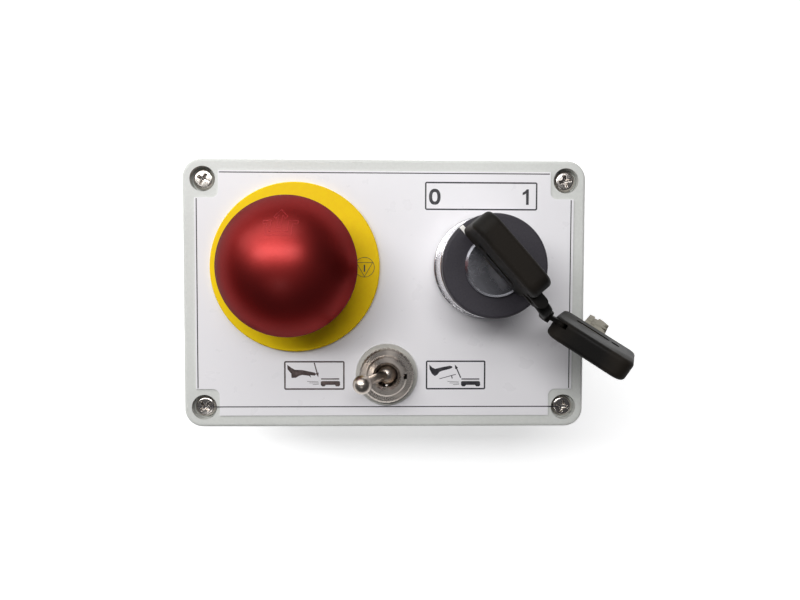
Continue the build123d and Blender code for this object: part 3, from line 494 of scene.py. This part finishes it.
signal_yellow = moulded("signal_yellow", (0.97, 0.69, 0.001), (0.92, 0.60, 0.0005), 0.5,
                        0.0006, 0.00002, Specular_IOR_Level=0.15)
dress(signal_yellow, "estop_legend_disc")

MARK_OUT = 20.5
MARK_R = 2.9
TRIANGLE_R = 2.75
MARK_LINE = 0.14
MARK_BAR = 0.42
disc_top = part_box("estop_legend_disc")[1].z / MM
head_low, head_high = (np.array(corner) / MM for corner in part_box("estop_head"))
estop_x, estop_y = (head_low + head_high)[:2] / 2


def round_mark(radius, angles):
    """Points at those angles round the mark's middle."""
    return np.stack([estop_x + MARK_OUT + radius * np.cos(angles),
                     estop_y + radius * np.sin(angles)], 1)


mark_bar = [(estop_x + MARK_OUT, estop_y - 1.3), (estop_x + MARK_OUT, estop_y + 0.75)]
mark_low = disc_top - INK_SUNK
mark = [ink_bar(round_mark(MARK_R, turn), MARK_LINE, mark_low, INK_THICK, True),
        ink_bar(round_mark(TRIANGLE_R, np.radians([-90, 30, 150])), MARK_LINE, mark_low,
                INK_THICK, True),
        ink_bar(mark_bar, MARK_BAR, mark_low, INK_THICK)]
make_piece("estop_disc_mark", mark, black_ink, "enclosure", smooth=False)

# Stop button's head: a hollow mushroom turned from aluminium, blasted satin and anodised
# red. The dome runs over a rounded rim into a skirt that narrows towards the lid.

DOME_R = 19.2
DOME_RIM = 1.0
DOME_RISE = 11.5
SKIRT_R = 17.4
SKIRT_WALL = 1.6
SOCKET_R = 5.53
HUB_R = 9.0
ball_r = (DOME_R ** 2 + DOME_RISE ** 2) / (2 * DOME_RISE)
head_top = head_high[2]
rim_top = head_top - DOME_RISE
rim_low = rim_top - DOME_RIM
skirt_low = head_low[2]


def dome_height(radius):
    """Height of the ball that the top of the head is part of."""
    return head_top - ball_r + np.sqrt(ball_r ** 2 - radius ** 2)


def rounded_line(corners, radii, steps=7):
    """A line through corners, each rounded by a curve that leaves both sides smoothly."""
    corners = np.asarray(corners, float)
    line = [corners[:1]]
    for before, here, after, radius in zip(corners, corners[1:], corners[2:], radii):
        enter = here + (before - here) / np.linalg.norm(before - here) * radius
        leave = here + (after - here) / np.linalg.norm(after - here) * radius
        t = np.linspace(0, 1, steps)[:, None]
        line.append((1 - t) ** 2 * enter + 2 * t * (1 - t) * here + t ** 2 * leave)
    return np.concatenate(line + [corners[-1:]])


over_dome = np.linspace(0, DOME_R - 0.45, 60)
dome_line = np.stack([over_dome, dome_height(over_dome)], 1)
under = rounded_line(
    [dome_line[-1], (DOME_R, rim_top), (DOME_R, rim_low), (SKIRT_R, skirt_low),
     (SKIRT_R - SKIRT_WALL, skirt_low), (SKIRT_R - SKIRT_WALL, rim_low - 2), (HUB_R, rim_low - 2),
     (HUB_R, rim_low - 4), (SOCKET_R, rim_low - 4), (SOCKET_R, rim_low), (0, rim_low)],
    [0.4, 0.45, 0.35, 0.35, 0.6, 0.6, 0.4, 0.3, 0.2])
head_line = np.concatenate([dome_line, under[1:]])

red_anodised, shader, place = new_finish("red_anodised", Metallic=1.0, Coat_Weight=0.2,
                                         Coat_Roughness=0.3, Specular_Tint=(0.06, 0.004, 0.004, 1))
blast = place.speckle(0.00018, 4.0)
rubbed = place.speckle(0.009)
pinholes = place.pits(0.0042, 0.00016) * place.speckle(0.012).band(0.6, 0.66)
feed(shader, {
    "Base_Color": (0.35 * rubbed + 0.25 * blast + 0.8 * pinholes).tint((0.31, 0.026, 0.024),
                                                                     (0.17, 0.010, 0.009)),
    "Roughness": 0.42 + 0.08 * rubbed.band(0.4, 0.7) + 0.06 * (blast - 0.5),
    "Normal": (blast - 1.5 * pinholes).relief(0.000012),
})
head = make_piece("estop_mushroom", [skin(lathe(head_line, 192, (estop_x, estop_y)))],
                  red_anodised, "estop_button")
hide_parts("estop_head")

# Push-pull mark on the head: an arrow that rises out of a tray, engraved as a fine outline
# through the red to the pale metal.

ENGRAVED = 0.14
ENGRAVED_SUNK = 0.006
ENGRAVED_THICK = 0.022
MARK_UP = 11.4


def on_dome(path):
    """A closed outline laid over the dome: cut into short steps, each lifted to the ball."""
    path = np.asarray(path, float)
    steps = np.linspace(0, 1, 8, endpoint=False)[:, None]
    line = np.concatenate([a + (b - a) * steps for a, b in zip(path, np.roll(path, -1, 0))])
    points, faces = ink_bar(line, ENGRAVED, -ENGRAVED_SUNK, ENGRAVED_THICK, True)
    points[:, 2] += dome_height(np.hypot(points[:, 0], points[:, 1]))
    return points + (estop_x, estop_y, 0), faces


tray = np.array([(-4.5, 0.2), (-2.3, 0.2), (-2.75, -2.7), (1.9, -2.7), (2.05, 0.2), (4.4, 0.2),
                 (4.4, -0.75), (3.05, -0.75), (2.85, -3.6), (-3.7, -3.6), (-3.45, -0.75),
                 (-4.5, -0.75)])
arrow = np.array([(-0.1, 3.1), (1.75, 1.2), (1.3, 0.6), (0.4, 1.55), (0.2, -1.8), (-0.85, -1.8),
                  (-0.55, 1.55), (-1.35, 0.7), (-1.85, 1.25)])
pale_cut = plated("engraved_red", (0.55, 0.07, 0.075), (0.42, 0.035, 0.04), 0.5)
make_piece("estop_push_pull_mark", [on_dome(shape + (0, MARK_UP)) for shape in (tray, arrow)],
           pale_cut, "estop_button")

# Stop button's other parts: black glass-filled collar, nuts and adapters, nylon stem and
# pushers, sprung steel, and the contact blocks with their brass strips.

black_nylon = moulded("black_nylon", (0.035, 0.035, 0.037), (0.018, 0.018, 0.02), 0.45,
                      0.0003, 0.00003)
dress(black_nylon, "estop_collar", "estop_lock_nut", "estop_mount_collar", "key_sleeve",
      "key_lock_nut", "key_mount_collar", "toggle_body")
white_nylon = moulded("white_nylon", (0.82, 0.82, 0.78), (0.74, 0.74, 0.69), 0.4, 0.0005, 0.00001)
dress(white_nylon, "estop_stem", "estop_contact_pusher", "key_contact_pusher", "key_cam",
      "toggle_plunger")
block_grey = moulded("block_grey", (0.13, 0.14, 0.14), (0.1, 0.11, 0.11), 0.5, 0.0003, 0.00003)
dress(block_grey, "estop_contact_housing", "key_contact_housing")
spring_wire = plated("spring_wire", (0.6, 0.59, 0.57), (0.35, 0.34, 0.33), 0.22)
dress(spring_wire, "estop_spring", "estop_contact_spring", "key_contact_spring",
      "estop_latch_ring")
zinc = plated("zinc_plate", (0.66, 0.67, 0.68), (0.5, 0.5, 0.48), 0.3)
dress(zinc, "estop_terminal_screws", "key_terminal_screws", "toggle_pivot_pin",
      "toggle_lock_washer", "toggle_rocker_pin")
brass = plated("contact_brass", (0.80, 0.62, 0.28), (0.55, 0.4, 0.16), 0.28)
dress(brass, "estop_fixed_contacts", "key_fixed_contacts", "estop_contact_bridge",
      "key_contact_bridge", "lock_wafers", "toggle_terminals", "toggle_rocker")

# Selector bezel: turned zinc, polished and chromed, with the faint rings of the turning.

bezel_chrome = plated("bezel_chrome", (0.86, 0.85, 0.87), (0.66, 0.65, 0.68), 0.1,
                      stretch=(1, 1, 14), depth=0.000008, scuffs=0.14)
dress(bezel_chrome, "key_bezel")

# Selector knob: a dark grey-violet plastic ring with a fine matte grain, and a white line
# let into its top.

knob_plastic = moulded("knob_plastic", (0.050, 0.046, 0.055), (0.034, 0.031, 0.038), 0.5,
                       0.00022, 0.00004, Specular_IOR_Level=0.2)
dress(knob_plastic, "key_knob_ring")
marker_paint = moulded("marker_paint", (0.86, 0.84, 0.8), (0.74, 0.72, 0.68), 0.4, 0.0004, 0.00003)
dress(marker_paint, "key_marker")

# Lock cylinder: satin-chromed zinc, its face brushed across the slot.

lock_metal = plated("lock_metal", (0.56, 0.56, 0.6), (0.36, 0.36, 0.4), 0.24,
                    stretch=(1, 18, 1), turn=(0, 0, 0.75), depth=0.000012, scuffs=0.16)
dress(lock_metal, "lock_cylinder")

# Keys: two nickel-silver blades moulded into black bows, joined by a strap of the same
# plastic. Handling has polished the bows' edges and left them faintly brown.

bow_plastic, shader, place = new_finish("bow_plastic", Specular_IOR_Level=0.1)
handled = place.speckle(0.006)
grit = place.speckle(0.00025, 4.0)
feed(shader, {
    "Base_Color": (0.8 * handled.band(0.42, 0.68) + 0.2 * grit).tint((0.006, 0.0058, 0.0056),
                                                                     (0.016, 0.013, 0.010)),
    "Roughness": 0.44 + 0.18 * handled.band(0.35, 0.7) + 0.08 * (grit - 0.5),
    "Normal": (grit + 0.6 * place.speckle(0.0015)).relief(0.00003),
})
dress(bow_plastic, "key_1_bow", "key_2_bow", "key_link")
blade_metal = plated("nickel_silver", (0.18, 0.155, 0.095), (0.10, 0.085, 0.05), 0.48,
                     stretch=(1, 1, 0.08), depth=0.00002)
dress(blade_metal, "key_1_blade", "key_2_blade")

# Toggle switch: nickel-plated bushing, ring nut and lever over a clear nylon washer.

nickel = plated("warm_nickel", (0.74, 0.68, 0.62), (0.5, 0.44, 0.39), 0.27,
                depth=0.000008, scuffs=0.2)
dress(nickel, "toggle_ring_nut", "toggle_bushing", "toggle_inner_nut")
# The lever is dressed in a darker copy of the same nickel: painted shade that dims the reflection on its
# ball end.
lever_nickel_shaded = plated("lever_nickel_shaded", (0.60, 0.54, 0.48), (0.38, 0.33, 0.29), 0.3,
                      depth=0.000008, scuffs=0.12)
dress(lever_nickel_shaded, "toggle_lever")
washer_nylon, shader, place = new_finish("washer_nylon", Transmission_Weight=0.5, IOR=1.5)
milky = place.speckle(0.002)
feed(shader, {
    "Base_Color": milky.tint((0.95, 0.93, 0.87), (0.86, 0.84, 0.76)),
    "Roughness": 0.3 + 0.25 * milky,
    "Normal": milky.relief(0.00003),
})
dress(washer_nylon, "toggle_washer")

# Studio: a pale floor, two window strips over the top edge, soft light from the upper left
# and a camera close above the lid.

TARGET = Vector((0, 0, 0.06))
FLOOR_HALF = 6
floor_corners = [(FLOOR_HALF * x, FLOOR_HALF * y, 0) for x, y in ((-1, -1), (1, -1), (1, 1), (-1, 1))]
floor_mesh = bpy.data.meshes.new("floor")
floor_mesh.from_pydata(floor_corners, [], [(0, 1, 2, 3)])
floor_white, shader, place = new_finish("floor_white", Emission_Strength=0.55)
feed(shader, {
    "Base_Color": place.speckle(0.4).tint((0.9, 0.9, 0.9), (0.87, 0.87, 0.87)),
    "Roughness": 0.7,
    "Emission_Color": (1, 1, 1, 1),
})
floor_mesh.materials.append(floor_white)
floor = bpy.data.objects.new("floor", floor_mesh)
bpy.context.scene.collection.objects.link(floor)


def lamp(name, towards, distance, width, height, power, tint=(1, 1, 1)):
    """A soft rectangular lamp, its long side along X, that faces the lid."""
    back = Vector(towards).normalized()
    across = Vector((1, 0, 0))
    across = (across - back * across.dot(back)).normalized()
    light = bpy.data.lights.new(name, "AREA")
    light.shape = "RECTANGLE"
    light.size = width
    light.size_y = height
    light.energy = power
    light.color = tint
    made = bpy.data.objects.new(name, light)
    turned = Matrix((across, back.cross(across), back)).transposed().to_4x4()
    made.matrix_world = Matrix.Translation(TARGET + back * distance) @ turned
    bpy.context.scene.collection.objects.link(made)


lamp("window_left", (-0.56, 0.36, 0.86), 0.9, 0.44, 0.19, 2.6)
lamp("window_right", (-0.02, 0.36, 0.92), 0.9, 0.52, 0.19, 3.1)
lamp("sky", (-0.45, 0.72, 0.55), 0.6, 0.9, 0.3, 2.0)
lamp("low_card", (-0.17, -0.42, 0.9), 1.0, 0.3, 0.1, 0.35)

world = bpy.data.worlds.new("studio")
world.use_nodes = True
world.node_tree.nodes["Background"].inputs["Color"].default_value = (0.93, 0.93, 1.0, 1)
world.node_tree.nodes["Background"].inputs["Strength"].default_value = 0.07
bpy.context.scene.world = world
bpy.context.scene.view_settings.view_transform = "Standard"

camera = bpy.data.objects.new("camera", bpy.data.cameras.new("camera"))
camera.data.sensor_width = 36.0
camera.data.lens = 27.9
camera.data.clip_start = 0.01
camera.location = (0.0002, 0.0058, 0.2404)
camera.rotation_euler = np.radians((-2.33, -1.31, 0.17))
bpy.context.scene.collection.objects.link(camera)
bpy.context.scene.camera = camera
